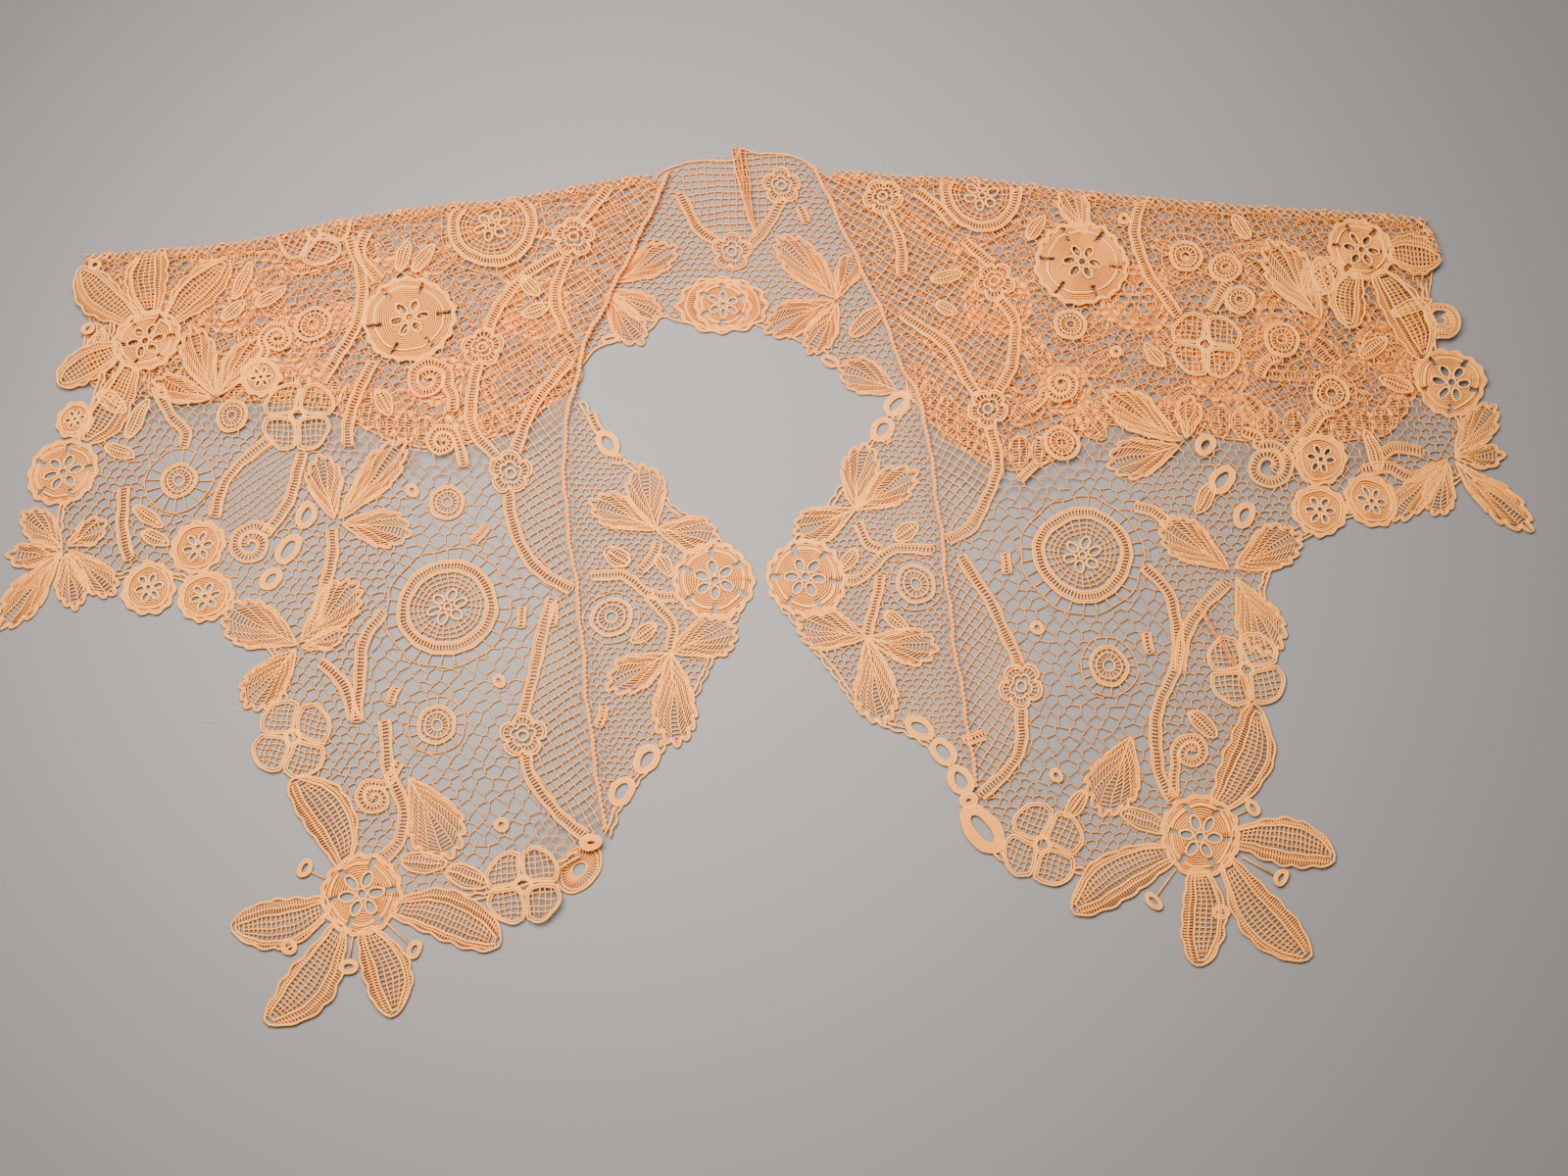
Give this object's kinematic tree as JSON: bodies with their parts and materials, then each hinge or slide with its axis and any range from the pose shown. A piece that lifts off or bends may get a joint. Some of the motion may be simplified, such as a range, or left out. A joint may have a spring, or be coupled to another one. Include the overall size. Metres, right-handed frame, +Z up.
{
  "type": "lace collar",
  "caption": "Wide openwork bertha collar of tape and needle lace with flower and leaf motifs, laid flat with its back folded under the fronts",
  "frame": {"origin": "middle of the laid-out collar, on the surface that it lies on", "axes": "+X across the collar towards the right front as it lies, +Y from the points of the fronts to the back neck, +Z up from the surface"},
  "size_m": [0.5646, 0.3358, 0.005],
  "materials": {
    "front_lace": "matte cotton thread, pale peach",
    "back_lace": "matte cotton thread, pale peach",
    "revers_lace": "matte cotton thread, pale peach",
    "neck_cord": "matte twisted cotton cord",
    "folded_lace": "matte cotton thread, doubled at the fold"
  },
  "bodies": {
    "root": {"back_neck": "back_lace", "back_left_wing": "back_lace", "back_right_wing": "back_lace", "left_front": "front_lace", "right_front": "front_lace", "left_revers": "revers_lace", "right_revers": "revers_lace", "left_front_corner": "front_lace", "left_neck_cord": "neck_cord", "right_neck_cord": "neck_cord", "left_shoulder_fold": "folded_lace", "right_shoulder_fold": "folded_lace"}
  },
  "joints": []
}
